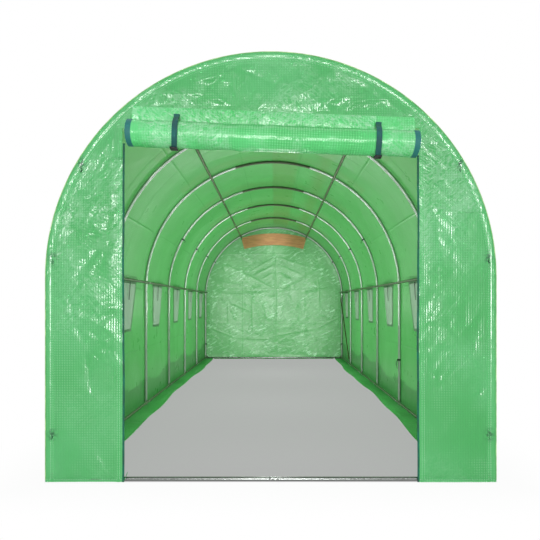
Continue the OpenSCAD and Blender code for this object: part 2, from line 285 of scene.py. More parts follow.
class Wire:
    """A socket in a finish's nodes; arithmetic on it adds Math nodes."""

    def __init__(self, finish, socket):
        self.finish = finish
        self.socket = socket

    def math(self, operation, *values):
        """One Math node, with this socket first."""
        inputs = dict(enumerate((self, *values)))
        return self.finish.node("Math", {"operation": operation}, inputs)

    def __add__(self, other):
        return self.math("ADD", other)

    __radd__ = __add__

    def __sub__(self, other):
        return self.math("SUBTRACT", other)

    def __rsub__(self, other):
        return (self * -1.0) + other

    def __mul__(self, other):
        return self.math("MULTIPLY", other)

    __rmul__ = __mul__

    def __pow__(self, other):
        return self.math("POWER", other)

    def __abs__(self):
        return self.math("ABSOLUTE")

    def larger(self, other):
        """The larger of two values."""
        return self.math("MAXIMUM", other)

    def wave(self, pitch):
        """A cosine from 0 to 1 that repeats every pitch."""
        return (self * (2 * math.pi / pitch)).math("COSINE") * 0.5 + 0.5

    def step(self, low, high):
        """A smooth step from 0 at low to 1 at high."""
        settings = {"interpolation_type": "SMOOTHSTEP"}
        return self.finish.node("MapRange", settings, {"Value": self, "From Min": low, "From Max": high})


class Finish:
    """The nodes of one material or world; node() adds any node, with its settings first and then its sockets' values
    or links."""

    def __init__(self, name, holders=None):
        self.holder = (bpy.data.materials if holders is None else holders).new(name)
        self.holder.use_nodes = True
        self.tree = self.holder.node_tree
        self.tree.nodes.clear()

    def node(self, kind, settings=None, inputs=None, out=0):
        made = self.tree.nodes.new("ShaderNode" + kind)
        for key, value in (settings or {}).items():
            if key == "stops":
                for place, colour in value[1:-1]:
                    made.color_ramp.elements.new(place).color = colour
                ends = made.color_ramp.elements
                ends[0].position, ends[0].color = value[0]
                ends[-1].position, ends[-1].color = value[-1]
            else:
                setattr(made, key, value)
        for key, value in (inputs or {}).items():
            if isinstance(value, Wire):
                self.tree.links.new(value.socket, made.inputs[key])
            else:
                made.inputs[key].default_value = value
        return Wire(self, made.outputs[out])

    def place(self):
        """Object coordinates, in metres."""
        return self.node("TexCoord", out="Object")

    def flat(self):
        """The piece's own flat coordinates, in metres."""
        return self.node("TexCoord", out="UV")

    def split(self, vector):
        """The three parts of a vector."""
        return [self.node("SeparateXYZ", None, {0: vector}, part) for part in "XYZ"]

    def mark(self, name):
        """A value kept on the mesh's points."""
        return self.node("Attribute", {"attribute_name": name}, None, "Fac")

    def noise(self, vector, scale, detail=3.0, rough=0.5):
        """Layered noise from 0 to 1."""
        inputs = {"Vector": vector, "Scale": scale, "Detail": detail, "Roughness": rough}
        return self.node("TexNoise", {"noise_type": "FBM", "normalize": True}, inputs)

    def streaks(self, vector, turn, length, width):
        """Noise stretched along a turned direction."""
        settings, inputs = {"vector_type": "TEXTURE"}, {"Rotation": (0, 0, turn), "Scale": (length, width, 1)}
        return self.noise(self.node("Mapping", settings, {"Vector": vector, **inputs}), 1.0, 2.5)

    def ridge(self, vector, turn, length, width):
        """Creases that run along a turned direction: 1 - |2n - 1| of a stretched noise, sharp on its crests."""
        return 1 - abs(self.streaks(vector, turn, length, width) * 2 - 1)

    def mix(self, share, first, second):
        """Two colours mixed, share of the second."""
        return self.node("Mix", {"data_type": "RGBA"}, {0: share, 6: first, 7: second}, 2)

    def bump(self, height):
        """A normal from a height in metres."""
        return self.node("Bump", None, {"Strength": 1.0, "Distance": 1.0, "Height": height})

    def surface(self, colour, rough, normal, more=None):
        """A surface of a colour, a roughness and a normal, with other sockets' values."""
        inputs = {"Base Color": colour, "Roughness": rough, "Normal": normal, **(more or {})}
        return self.node("BsdfPrincipled", None, inputs)

    def seen(self):
        """1 for rays of the camera, gloss and glass, and 0 for light that falls on the object."""
        rays = ("Is Camera Ray", "Is Glossy Ray", "Is Transmission Ray")
        direct, gloss, glass = (self.node("LightPath", None, None, ray) for ray in rays)
        return direct.larger(gloss).larger(glass)

    def done(self, shader, output="OutputMaterial"):
        """The material or world, with a shader on its output."""
        self.tree.links.new(shader.socket, self.tree.nodes.new("ShaderNode" + output).inputs["Surface"])
        return self.holder


def srgb(red, green, blue):
    """A colour as a screen shows it, 0 to 255, as the linear colour that a shader takes."""
    level = np.array([red, green, blue]) / 255
    linear = np.where(level <= 0.04045, level / 12.92, ((level + 0.055) / 1.055) ** 2.4)
    return (*linear.tolist(), 1.0)


weave_pitch = 0.0115
tie_shade = srgb(30, 84, 56)
# Pale stitch thread and crease whitening; on the crumples and the weave's knots it is also painted glints.
stitch_crease_and_glint_white = srgb(200, 242, 212)
# Darker film for the lined foot band of the walls; on the front panel's turned-over rim it is painted shade.
lining_and_shade_film = srgb(52, 134, 64)
# Darker film in the gaps of the weave, and painted shade along the packing folds.
weave_gap_and_crease_shade = srgb(72, 164, 90)
# Olive-brown film for the overlap band and the bands by the purlin and hoops, and painted shade in the first bay.
tint_and_shade_film = srgb(138, 150, 76)


def film_finish(name, tone, deep, glow, share, rough=0.19, crinkle=1.0, grain=1.0, whitening_and_glint=0.8, packed=0.0,
                shine=0.5, ends=None):
    """Woven film: tapes of a fine grid under a shiny skin, crumpled into small facets in patches, with pale crease
    lines and painted glints on the crumples and on the weave's knots, and stitched hems; it lets light through."""
    big_crease, faint_crease, small_crease, fine_crease = 0.0050, 0.0008, 0.0014, 0.0002
    tape_depth, packing_depth, stitch_depth = 0.0004 - packed * 0.00025, 0.002, 0.0006
    finish = Finish(name)
    place, flat = finish.place(), finish.flat()
    u, v, _ = finish.split(flat)
    double, shadow, seam, lined, tint = (finish.mark(mark) for mark in ("double", "shadow", "seam", "lined", "tint"))
    tapes = u.wave(weave_pitch).larger(v.wave(weave_pitch) * 0.7)
    cloudy = finish.noise(place, 2.3, 4.0)
    patches = finish.noise(place, 3.6, 3.0).step(0.44, 0.62).larger(finish.mark("crushed"))
    patches = patches * (1 - finish.mark("calm"))
    flips = finish.noise(place, 2.9, 1.0).step(0.44, 0.56)
    rising, falling = finish.ridge(flat, 0.9, 0.26, 0.07), finish.ridge(flat, -0.75, 0.24, 0.065)
    first = finish.ridge(flat, 0.75, 0.038 * grain, 0.015 * grain)
    second = finish.ridge(flat, -0.6, 0.036 * grain, 0.015 * grain)
    small = first * flips + second * (1 - flips)
    packing = (u.wave(0.47) ** 500.0).larger(v.wave(0.53) ** 500.0) * cloudy * packed
    height = rising * (patches * flips * big_crease + faint_crease)
    height = height + falling * (patches * (1 - flips) * big_crease + faint_crease)
    height = (height + small * (patches * small_crease + fine_crease) * grain) * crinkle
    height = height + tapes * tape_depth - packing * packing_depth
    thread = seam.step(0.0040, 0.0048) * (1 - seam.step(0.0058, 0.0066))
    dashes = (u + v).wave(0.011).step(0.25, 0.45) * thread
    normal = finish.bump(height + dashes * stitch_depth)
    # Painted highlights: the crumples' crests, streaked glints and the weave's knots are lightened in the base colour,
    # beside pale crease lines.
    crests = (rising * flips + falling * (1 - flips)) ** 18.0 * (0.6 * crinkle)
    glints = finish.streaks(flat, 0.4, 0.034 * grain, 0.011 * grain).step(0.62 - 0.02 * grain, 0.67 - 0.02 * grain)
    knots = (u.wave(weave_pitch) * v.wave(weave_pitch)).step(0.3, 0.8)
    knots = knots * finish.noise(place, 6.0, 3.0).step(0.46, 0.62)
    white = (small.step(0.84, 0.97) * (0.6 / grain)).larger(crests).larger(glints) * patches
    shade = finish.mix(cloudy.step(0.3, 0.72), deep, tone)
    for cover, colour in (
        ((1 - tapes) * (cloudy.step(0.62, 0.4) * 0.5 + 0.15) * (1 - packed * 0.85), weave_gap_and_crease_shade),
        (knots * (whitening_and_glint * 0.45 * max(1 - 2 * packed, 0)), stitch_crease_and_glint_white),
        (white * whitening_and_glint, stitch_crease_and_glint_white),
        (double * 0.5, deep),
        (lined * (cloudy * 0.3 + 0.3), lining_and_shade_film),
        (dashes * 0.6, stitch_crease_and_glint_white),
        # painted shadows of the front hoop's ties
        (shadow * finish.noise(place, 70.0, 2.0).step(0.42, 0.56), tie_shade),
        (tint * (cloudy * 0.5 + 0.3), tint_and_shade_film),
        # painted shade along the packing folds
        (packing * 0.6, weave_gap_and_crease_shade),
    ):
        shade = finish.mix(cover, shade, colour)
    gloss = finish.noise(place, 9.0, 2.0) * 0.14 + (rough - 0.07)
    if ends:
        half, tape_w, tape_tone, start = ends
        bound = abs(u).step(half - tape_w - 0.001, half - tape_w) * v.step(start - 0.012, start - 0.008)
        shade = finish.mix(bound, shade, tape_tone)
        share, gloss = (1 - bound) * share, gloss + bound * 0.4
    else:
        hidden = double * 0.45 + lined * (0.75 - patches * 0.3) + tint * 0.42
        share = (1 - hidden) * share
    skin = finish.surface(shade, gloss, normal, {"Specular IOR Level": shine})
    through = finish.node("BsdfTranslucent", None, {"Color": glow, "Normal": normal})
    return finish.done(finish.node("MixShader", None, {0: share, 1: skin, 2: through}))


def tape_finish(name, tone, deep, pitch=0.0021, rough=0.6):
    """Woven tape: slanted ribs with a slight sheen and a darker worn tone in places."""
    finish = Finish(name)
    place = finish.place()
    x, y, z = finish.split(place)
    ribs = (x + z * 0.6 + y * 0.8).wave(pitch)
    worn = finish.noise(place, 18.0, 3.0).step(0.35, 0.7)
    shade = finish.mix(worn, deep, tone)
    shade = finish.mix((1 - ribs) * 0.25, shade, deep)
    return finish.done(finish.surface(shade, worn * 0.12 + (rough - 0.06), finish.bump(ribs * 0.00025)))


def tube_finish(name, tone, dull, metal=0.9, rough=0.33):
    """Galvanised tube: zinc spangle, grimy patches of a duller tone and a duller tube at the crown of each hoop."""
    finish = Finish(name)
    place = finish.place()
    x, y, z = finish.split(place)
    spangle = finish.node("TexVoronoi", {"feature": "F1"}, {"Vector": place, "Scale": 130.0}, "Color")
    cells, _, _ = finish.split(spangle)
    grime = finish.noise(place, 22.0, 4.0)
    crown = ((z - spring_z) * math.tan(math.radians(crown_half_a)) - abs(x)).step(-0.003, 0.003)
    crown = crown * (z - spring_z - 0.6).step(0.0, 0.1) * (1 - y.step(rear_y - 0.3, rear_y - 0.2))
    shade = finish.mix(cells * 0.15, tone, (0.40, 0.42, 0.43, 1.0))
    shade = finish.mix(grime.step(0.58, 0.8) * 0.25, shade, dull)
    shade = finish.mix(crown * 0.92, shade, dull)
    worn = cells * 0.05 + grime * 0.06 + crown * 0.14 + rough
    normal = finish.bump(grime * 0.0001 + cells * 0.00003)
    return finish.done(finish.surface(shade, worn, normal, {"Metallic": metal - crown * 0.35}))


def net_finish(name, tone, deep):
    """Fine netting: two sets of thin threads, see-through between them."""
    thread_pitch = 0.0042
    finish = Finish(name)
    u, v, _ = finish.split(finish.flat())
    threads = u.wave(thread_pitch).larger(v.wave(thread_pitch))
    cloudy = finish.noise(finish.place(), 5.0, 3.0).step(0.3, 0.7)
    shade = finish.mix(cloudy, deep, tone)
    shade = finish.mix((1 - threads) * 0.5, shade, deep)
    skin = finish.surface(shade, 0.55, finish.bump(threads * 0.0002), {"Alpha": threads * 0.2 + 0.72})
    through = finish.node("BsdfTranslucent", None, {"Color": tone})
    return finish.done(finish.node("MixShader", None, {0: 0.3, 1: skin, 2: through}))


def wood_finish(name, tone, deep):
    """Plain sawn board: long grain along X, warped by noise, with finer pores."""
    finish = Finish(name)
    place = finish.place()
    stretched = finish.node("Mapping", None, {"Vector": place, "Scale": (2.0, 8.0, 26.0)})
    grain = finish.noise(stretched, 3.0, 5.0, rough=0.62)
    pores = finish.noise(finish.node("Mapping", None, {"Vector": place, "Scale": (6.0, 40.0, 160.0)}), 3.0, 2.0)
    shade = finish.mix(grain.step(0.36, 0.64), deep, tone)
    shade = finish.mix(pores.step(0.55, 0.75) * 0.3, shade, deep)
    return finish.done(finish.surface(shade, grain * 0.2 + 0.45, finish.bump(grain * 0.0006 + pores * 0.0003)))


def plastic_finish(name, tone, rough):
    """Moulded plastic with a fine grain."""
    finish = Finish(name)
    grain = finish.noise(finish.place(), 420.0, 2.0)
    shade = finish.mix(grain * 0.3, tone, (0.05, 0.055, 0.055, 1.0))
    return finish.done(finish.surface(shade, grain * 0.15 + rough, finish.bump(grain * 0.00008)))


crown_half_a = 17.0
roll_left_in, roll_right_in = 0.045, 0.026
roll_l = 2 * door_x - roll_left_in - roll_right_in
roll_x = (roll_left_in - roll_right_in) / 2
roll_tape_w = 0.024
head_h = 0.140

teal = srgb(24, 106, 102)
teal_deep = srgb(12, 72, 72)

cover_film = film_finish("cover_film", srgb(97, 186, 107), srgb(77, 172, 88), srgb(110, 196, 114), 0.23, 0.3, 0.12,
                         whitening_and_glint=0.35, packed=1.0, shine=0.07)
panel_film = film_finish("panel_film", srgb(98, 195, 124), srgb(76, 182, 101), srgb(128, 206, 144), 0.34, whitening_and_glint=0.55)
rear_film = film_finish("rear_film", srgb(110, 183, 117), srgb(94, 172, 101), srgb(128, 192, 134), 0.22, 0.24, 0.3, 2.8,
                        1.0, 0.5, 0.25)
# A brighter copy of the door film for the rolled curtain: painted light from below.
roll_film_painted_light = film_finish(
    "roll_film_painted_light", srgb(109, 228, 143), srgb(90, 216, 120), srgb(118, 210, 136), 0.2, 0.27, whitening_and_glint=0.66,
    ends=(roll_l / 2, roll_tape_w, teal, head_h),
)
flap_film = film_finish("flap_film", srgb(96, 204, 114), srgb(82, 190, 100), srgb(90, 190, 104), 0.2, 0.34, 0.3,
                        whitening_and_glint=0.15)
hem_film = film_finish("hem_film", srgb(104, 204, 122), srgb(84, 188, 100), srgb(150, 226, 156), 0.25, 0.3, 0.3)
ground_film = film_finish("ground_film", srgb(124, 226, 140), srgb(108, 214, 124), srgb(110, 210, 124), 0.05, 0.34, 0.3,
                          whitening_and_glint=0.3)
teal_tape = tape_finish("teal_tape", teal, teal_deep, rough=0.75)
jamb_tape = tape_finish("jamb_tape", srgb(18, 108, 84), srgb(8, 76, 58), rough=0.8)
dark_tape = tape_finish("dark_tape", srgb(30, 84, 56), srgb(14, 46, 32), rough=0.7)
green_tape = tape_finish("green_tape", srgb(54, 170, 84), srgb(30, 128, 60))
zinc = tube_finish("galvanised_tube", srgb(194, 198, 195), srgb(92, 90, 74))
sill_zinc = tube_finish("sill_tube", srgb(112, 115, 112), srgb(100, 102, 94), 0.9, 0.18)
# Darker copies of the zinc for the purlins, the brace and the rails: painted shade.
painted_shade_zinc = tube_finish("purlin_tube_painted_shade", srgb(104, 94, 66), srgb(74, 66, 46), 0.5, 0.3)
painted_shade_rail_zinc = tube_finish("rail_tube_painted_shade", srgb(92, 112, 74), srgb(68, 80, 50), 0.4, 0.4)
piping_cord = tape_finish("rim_piping", srgb(196, 226, 164), srgb(120, 178, 108), pitch=0.0052)
netting = net_finish("window_net", srgb(128, 172, 134), srgb(98, 148, 106))
board_wood = wood_finish("board_wood", srgb(232, 160, 112), srgb(204, 128, 82))
buckle_black = plastic_finish("buckle_black", srgb(14, 15, 16), 0.5)


# The cover: one sheet over all seven hoops, with six windows cut in each wall

def cover_lines():
    """Grid lines of the cover: arch lengths and places along it, with lines on every window edge."""
    low_s, top_s = window_low_z, spring_z + film_r * math.asin((window_top_z - spring_z) / film_r)
    left = [np.linspace(0, low_s, 32, endpoint=False), np.linspace(low_s, top_s, 17, endpoint=False)]
    roof = np.linspace(top_s, arch_l - top_s, 163, endpoint=False)
    right = [arch_l - part[::-1] for part in (np.linspace(low_s, top_s, 18), np.linspace(0, low_s, 33)[:-1])]
    s = np.concatenate([*left, roof, *right])
    parts = []
    for y in hoop_y[:-1]:
        middle_y = y + bay / 2
        parts += [
            np.linspace(y, middle_y + window_near, 16, endpoint=False),
            np.linspace(middle_y + window_near, middle_y + window_far_top, 18, endpoint=False),
            np.linspace(middle_y + window_far_top, y + bay, 16, endpoint=False),
        ]
    return s, np.concatenate([*parts, hoop_y[-1:]]), low_s, top_s


def slanted(s, y):
    """Moves grid lines towards the front so that the line on a window's far edge follows its slant."""
    _, z, _, _ = arch(s)
    knots, weights = [], []
    for start in hoop_y[:-1]:
        knots += [start, start + bay / 2 + window_near, start + bay / 2 + window_far_top]
        weights += [0.0, 0.0, 1.0]
    knots.append(hoop_y[-1])
    weights.append(0.0)
    fall = (window_top_z - z) / window_h
    share = np.where(fall <= 1, np.clip(fall, 0, 1), np.clip(2 - fall, 0, 1))
    return y - window_slant * share * np.interp(y, knots, weights)


def tunnel_cover():
    """The cover's grid of arch length by place, its window quads left out."""
    lines_s, lines_y, low_s, top_s = cover_lines()
    s, y = np.meshgrid(lines_s, lines_y, indexing="ij")
    y = slanted(s, y)
    points = on_cover(s, y)
    faces = grid_faces(*s.shape)
    first = faces[:, 0]
    face_s, face_y = lines_s[first // len(lines_y)] + 1e-6, lines_y[first % len(lines_y)] + 1e-6
    from_foot = np.minimum(face_s, arch_l - face_s - (lines_s[1] - lines_s[0]) * 0.5)
    in_bay = (face_y - hoop_y[0]) % bay - bay / 2
    in_height = (from_foot > low_s) & (from_foot < top_s)
    in_width = (in_bay > window_near) & (in_bay < window_far_top)
    kept, faces = np.unique(faces[~(in_height & in_width)], return_inverse=True)
    faces = faces.reshape(-1, 4)
    s, y, points = s.ravel()[kept], y.ravel()[kept], points.reshape(-1, 3)[kept]
    _, z, _, _ = arch(s)
    wavy = 0.20 + 0.03 * np.abs(np.sin(np.pi * (y - hoop_y[0]) / bay - 1.57))
    wavy += 0.025 * np.sin(y * 2.3) + 0.012 * np.sin(y * 7.1 + 1.0)
    foot_band = smooth((wavy - z) / 0.010)
    from_ridge = s - arch_l / 2
    ridge_seam = 0.3 * smooth((0.016 - np.abs(from_ridge - 0.012)) / 0.004)
    overlap = 0.75 * smooth(from_ridge / 0.004) * smooth((0.24 - from_ridge) / 0.06)
    by_purlin = 0.8 * np.exp(-(((np.abs(from_ridge) - 0.42) / 0.07) ** 2)) * (from_ridge > 0)
    by_hoop = 0.5 * np.exp(-((((y - hoop_y[0]) % bay - 0.86 * bay) / 0.12) ** 2)) * (np.abs(from_ridge) < 0.8)
    # Painted shade: the first bay's roof behind the gable and the roll is darkened towards olive.
    by_front = 0.3 * smooth((hoop_y[1] + 0.25 - y) / 0.7) * smooth((z - 0.9) / 0.3)
    made = piece(
        "tunnel_cover", (points, faces), cover_film,
        ["left_wall_cover", "right_wall_cover", "left_haunch_cover", "right_haunch_cover", "crown_cover"],
        uv=stacked(s, y),
        marks={"double": ridge_seam, "lined": foot_band, "calm": np.full(s.shape, 0.7), "crushed": foot_band,
               "tint": np.max([overlap, by_purlin, by_hoop, by_front], axis=0)},
    )
    window_area = window_h * (2 * window_far_top - window_slant / 2)
    flat = (arch_l, hoop_y[-1] - hoop_y[0])
    flat[0] * flat[1] - len(SIDES) * len(bay_middles) * window_area


tunnel_cover()


# The end panels

rim_bend = hoop_y[0] - front_y
rim_lap = 0.035
end_area = 2 * wall_x * spring_z + math.pi * wall_x**2 / 2 + rim_lap * arch_l
tie_heights = (0.22, 1.04, spring_z + film_r * math.radians(30))
roll_d = 0.128
roll_drop = 0.066
roll_tilt = math.radians(2.3)
roll_turns = 5
roll_core_d = 0.036
roll_y = middle("door_roll_straps")[1]
roll_z = door_z - roll_drop


def tie_shadow(x, z):
    """Painted shadows of the front hoop's ties on the film: a round dark patch at each tie."""
    inset, stretch, patch_r = 0.965, 0.7, 0.018
    mark = np.zeros(x.shape)
    for s in tie_heights:
        for length in (s, arch_l - s):
            tie_x, tie_z, _, _ = arch(np.array(length))
            reach = ((x - tie_x * inset) ** 2 + ((z - tie_z) * stretch) ** 2) / patch_r**2
            mark = np.maximum(mark, np.exp(-reach))
    return mark


def front_panel():
    """A strip round the doorway: lines run from the door's edge to the hoop, turn over the tube as a quarter
    circle and lap back over the cover; creases stand out of the flat part."""
    s = np.linspace(0, arch_l, 651)[:, None]
    _, z, normal_x, normal_z = arch(s)
    level_z = np.minimum(z, spring_z)
    door_side = door_x / np.maximum(np.abs(normal_x), 1e-6)
    door_head = (door_z - spring_z) / np.maximum(normal_z, 1e-6)
    inner = np.minimum(door_side, door_head)
    turn = np.linspace(0, np.pi / 2, 7)[None, 1:]
    lap = np.linspace(0, rim_lap, 4)[None, 1:]
    ones = np.ones_like(s)
    reach = [inner + (hoop_r - inner) * np.linspace(0, 1, 47)[None]]
    reach += [ones * (hoop_r + rim_bend * np.sin(turn)), ones * (hoop_r + rim_bend) + 0 * lap]
    back = [np.zeros_like(reach[0]), ones * rim_bend * (1 - np.cos(turn)), ones * (rim_bend + lap)]
    reach, back = np.concatenate(reach, axis=1), np.concatenate(back, axis=1)
    x, z = normal_x * reach, level_z + normal_z * reach
    whole, gable = ((-wall_x, wall_x), (0.0, ridge_z)), ((-0.75, 0.75), (door_z + 0.05, ridge_z - 0.03))
    left, right = ((-1.0, -door_x), (1.05, 1.8)), ((door_x, 1.0), (1.0, 1.8))
    left_door, right_door = ((-0.85, -door_x), (0.55, 1.4)), ((door_x, 0.85), (0.45, 1.4))
    stand = creases(x, z, 21, 170, whole, (0.08, 0.4), (0.010, 0.024), 0.0045)
    for seed, area in ((25, left), (26, right), (27, gable), (28, left_door), (29, right_door)):
        stand += creases(x, z, seed, 150, area, (0.03, 0.14), (0.006, 0.012), 0.0035)
    stand += creases(x, z, 22, 70, gable, (0.15, 0.55), (0.010, 0.026), 0.008, (0.0, 0.5))
    stand += creases(x, z, 23, 46, left, (0.12, 0.5), (0.010, 0.022), 0.007, (0.95, 0.3))
    stand += creases(x, z, 24, 46, right, (0.12, 0.5), (0.010, 0.022), 0.003, (2.1, 0.45))
    stand += 0.003 * np.sin(5 * z + 3 * x) + 0.002 * np.sin(9 * x - 4 * z)
    head_z = roll_z + head_h - (x - roll_x) * math.tan(roll_tilt)
    beside_roll = np.maximum(smooth((z - head_z) / 0.05), smooth((np.abs(x) - door_x) / 0.05))
    beside_roll = np.maximum(beside_roll, smooth((roll_z - roll_d - z) / 0.05))
    stand *= 1 - 0.5 * smooth((x - door_x) / 0.05) * smooth((1.5 - z) / 0.3)
    stand *= smooth((hoop_r - 0.014 - reach) / 0.05) * beside_roll * (0.3 + 0.7 * smooth((reach - inner) / 0.06))
    groove = 0.003 * np.exp(-(((reach - hoop_r + 0.021) / 0.007) ** 2))
    points = stacked(x, front_y + back + groove - stand, z)
    rim_hem = smooth((reach - hoop_r + 0.034) / 0.004)
    foot_hem = smooth((0.017 - z) / 0.003)
    door_hem = smooth((0.03 - reach + inner) / 0.004)
    # Painted shade: the outer part of the turn over the hoop is darkened like the hoop's edge in shade.
    edge = smooth((reach - hoop_r - rim_bend * 0.75) / 0.003) * smooth((rim_bend + 0.006 - back) / 0.004)
    right_mid = 0.6 * smooth((x - door_x) / 0.02) * smooth((1.25 - z) / 0.3)
    outer = smooth((-0.86 - x) / 0.05) * smooth((z - 0.58) / 0.15) * smooth((1.15 - z) / 0.15)
    calm = np.maximum(0.8 * smooth((1.0 - z) / 0.4), 0.75 * smooth((x - 0.82) / 0.12) * (z < spring_z + 0.3))
    # The jambs, the door's top corners and the outer left strip get more crumples and more painted glints.
    by_jamb = smooth((0.09 - np.abs(x) + door_x) / 0.05) * smooth((z - 0.85) / 0.15) * (z < spring_z + 0.55)
    corner = 0.5 * smooth((0.15 - np.hypot(np.abs(x) - 0.80, z - 1.42)) / 0.07)
    seam = np.minimum(np.abs(reach - inner - 0.019), np.minimum(np.abs(z - 0.006), np.abs(hoop_r - 0.022 - reach)))
    made = piece(
        "front_panel", (points, grid_faces(*reach.shape)), panel_film,
        ["front_left_panel", "front_right_panel", "front_gable_panel"], uv=stacked(x, z - back),
        marks={"double": np.maximum(np.maximum(rim_hem, foot_hem), door_hem), "shadow": tie_shadow(x, z), "seam": seam,
               "calm": np.maximum(calm, right_mid) * (1 - outer), "lined": edge,
               "crushed": np.maximum(np.maximum(by_jamb, corner), 0.4 * outer)},
    )
    end_area - 2 * door_x * door_z


# Fold lines of the rear panel as (x, z) ends: the crease down its middle, slanting folds and level ones
rear_folds = [
    ((0.03, 1.58), (0.03, 0.06)), ((0.01, 1.05), (-0.52, 1.33)), ((-0.48, 1.31), (-0.92, 1.50)),
    ((0.05, 0.98), (0.70, 1.38)), ((-0.38, 1.31), (0.03, 1.55)), ((0.03, 1.55), (0.52, 1.39)),
    ((-0.32, 1.25), (0.02, 1.43)), ((0.05, 1.43), (0.46, 1.25)), ((-0.20, 1.19), (0.02, 1.32)),
    ((0.05, 1.32), (0.28, 1.19)), ((0.03, 0.35), (0.67, 0.45)), ((0.62, 0.43), (1.00, 0.63)),
    ((-0.98, 0.47), (-0.58, 0.31)), ((-0.60, 0.31), (-0.05, 0.29)), ((-1.00, 1.01), (-0.03, 1.00)),
    ((0.67, 1.27), (0.70, 0.69)), ((-0.33, 0.88), (-0.32, 0.40)), ((-0.70, 0.88), (-0.69, 0.48)),
    ((-0.67, 0.84), (-0.35, 0.72)), ((-0.95, 1.22), (-0.45, 1.12)), ((0.30, 0.98), (0.98, 1.10)),
]


def rear_panel():
    """Level lines across the arch, from its foot to the ridge, with the edge turned over the rear hoop and
    lapped back over the cover; packing folds and creases stand out of it."""
    low = np.linspace(0, spring_z, 90, endpoint=False)
    turn = np.linspace(0, np.pi / 2 - 0.006, 126)
    half = np.concatenate([np.full(low.shape, wall_x), wall_x * np.cos(turn)])[:, None]
    z = np.concatenate([low, spring_z + wall_x * np.sin(turn)])[:, None]
    inner = np.linspace(-0.985, 0.985, 187)
    edge = 1 - 0.015 * np.linspace(0, 1, 8, endpoint=False) ** 1.5
    lap = np.linspace(rim_lap, 0, 3, endpoint=False)
    share = np.concatenate([-np.ones(3), -edge, inner, edge[::-1], np.ones(3)])[None]
    lap = np.concatenate([lap, np.zeros(share.size - 6), lap[::-1]])[None]
    x, z = share * half, z + 0 * share
    above = np.maximum(z - spring_z, 0)
    inside = np.maximum(wall_x - np.hypot(x, above), 0)
    back = rim_bend - np.sqrt(rim_bend**2 - np.maximum(rim_bend - inside, 0) ** 2)
    area = ((-wall_x, wall_x), (0.0, ridge_z))
    stand = creases(x, z, 31, 200, area, (0.06, 0.32), (0.010, 0.022), 0.0022)
    for start, end in rear_folds:
        stand += fold(x, z, start, end, 0.010, 0.002)
    stand += 0.006 * np.sin(6 * x + 2 * z) * np.sin(4 * z - 1)
    stand *= smooth((inside - 0.024) / 0.05) * smooth(z / 0.06)
    smooth_bands = np.max([0.85 * band(x, z, start, end, 0.011) for start, end in rear_folds], axis=0)
    points = stacked(x, rear_y - back - lap - stand, z)
    made = piece(
        "rear_panel_film", (points, grid_faces(*x.shape)), rear_film, ["rear_panel"],
        uv=stacked(x, z),
        marks={"double": smooth((0.034 - inside) / 0.004), "calm": smooth_bands, "crushed": np.full(x.shape, 0.3)},
    )


def rim_piping():
    """A cord sewn along the rim of the front panel, on the outer front quarter of the hoop."""
    s = np.linspace(0.012, arch_l - 0.012, 420)
    _, z, normal_x, normal_z = arch(s)
    turn, clear, cord_d = math.radians(38), 0.0008, 0.0042
    reach = hoop_r + rim_bend * math.sin(turn)
    y = hoop_y[0] - rim_bend * math.cos(turn) - clear
    path = stacked(normal_x * reach, y, np.minimum(z, spring_z) + normal_z * reach)
    cord = sweep(path, tunnel_way, round_profile(cord_d, 8))
    piece("rim_piping", cord, piping_cord, closed=True)


front_panel()
rear_panel()
rim_piping()


# The rolled door

roll_along = np.array([math.cos(roll_tilt), 0.0, -math.sin(roll_tilt)])
roll_up = np.array([math.sin(roll_tilt), 0.0, math.cos(roll_tilt)])
strap_places = (0.219 - roll_l / 2, roll_l / 2 - 0.182)
strap_tab_shifts = (-0.0155, 0.0155)
strap_foot_shifts = (-0.010, 0.006)
strap_w = 0.025
strap_tab_h = 0.110


def on_roll(along, back, up):
    """Points by their place along the roll, behind its axis and above it."""
    along, back, up = np.broadcast_arrays(along, back, up)
    middle_of_roll = np.array([roll_x, roll_y, roll_z])
    return middle_of_roll + along[..., None] * roll_along + back[..., None] * (0, 1, 0) + up[..., None] * roll_up


def rolled(outer, step, turns, turn_rows, head, head_rows):
    """A head that hangs straight down and a spiral under it whose radius falls by step in each turn: places behind and
    above the roll's axis, the turn, and the length from the top of the head."""
    turn = np.linspace(0, 2 * np.pi * turns, turn_rows)
    radius = outer - step * turn / (2 * np.pi)
    hang = np.linspace(head, 0, head_rows, endpoint=False)
    back = np.concatenate([np.full(head_rows, outer), radius * np.cos(turn)])
    up = np.concatenate([hang, -radius * np.sin(turn)])
    return back[None], up[None], turn, run_length(back, up)[None]


